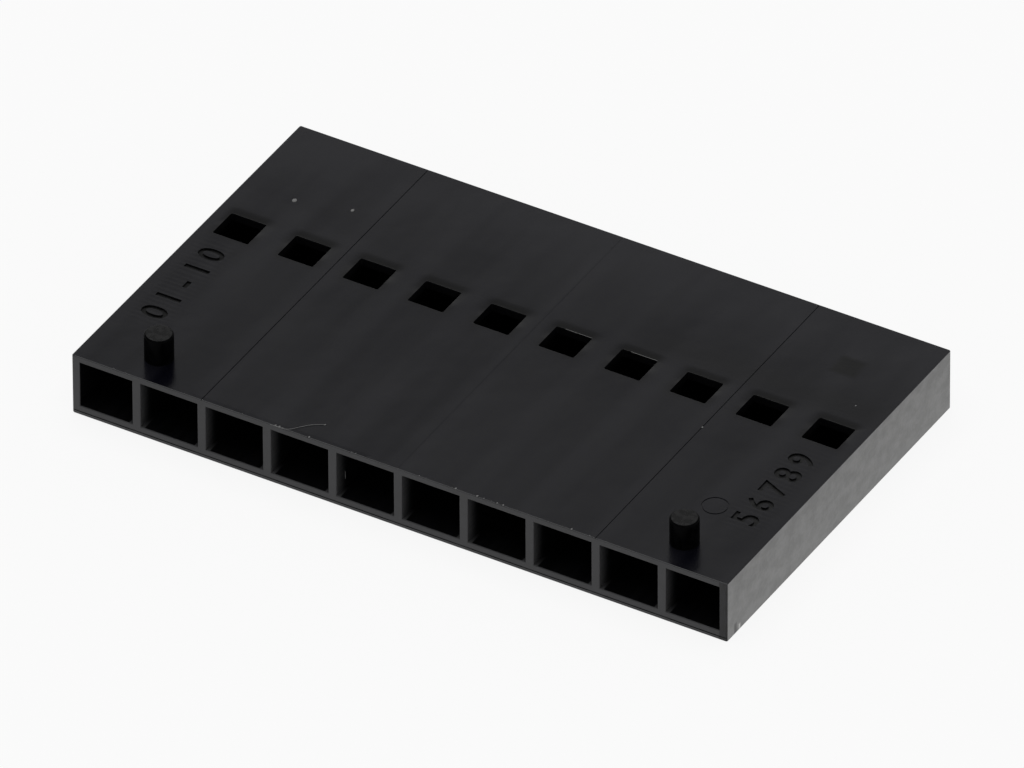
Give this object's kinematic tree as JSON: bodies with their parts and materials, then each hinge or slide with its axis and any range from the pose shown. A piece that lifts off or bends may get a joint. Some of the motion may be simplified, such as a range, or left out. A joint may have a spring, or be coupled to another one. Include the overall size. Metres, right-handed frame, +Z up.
{
  "type": "crimp socket housing",
  "caption": "Slim black moulded housing with a row of chambers for crimped sockets, a locking window over each and two locating pegs.",
  "frame": {"origin": "middle of the underside, which the housing rests on", "axes": "+X along the row of contacts, +Y from the wire face to the mating face, +Z up through the windowed top face"},
  "size_m": [0.0254, 0.015, 0.0034],
  "materials": {
    "housing_plastic": "black glass-filled thermoplastic as moulded: satin top face, duller end faces"
  },
  "bodies": {
    "root": {"housing": "housing_plastic"}
  },
  "joints": []
}
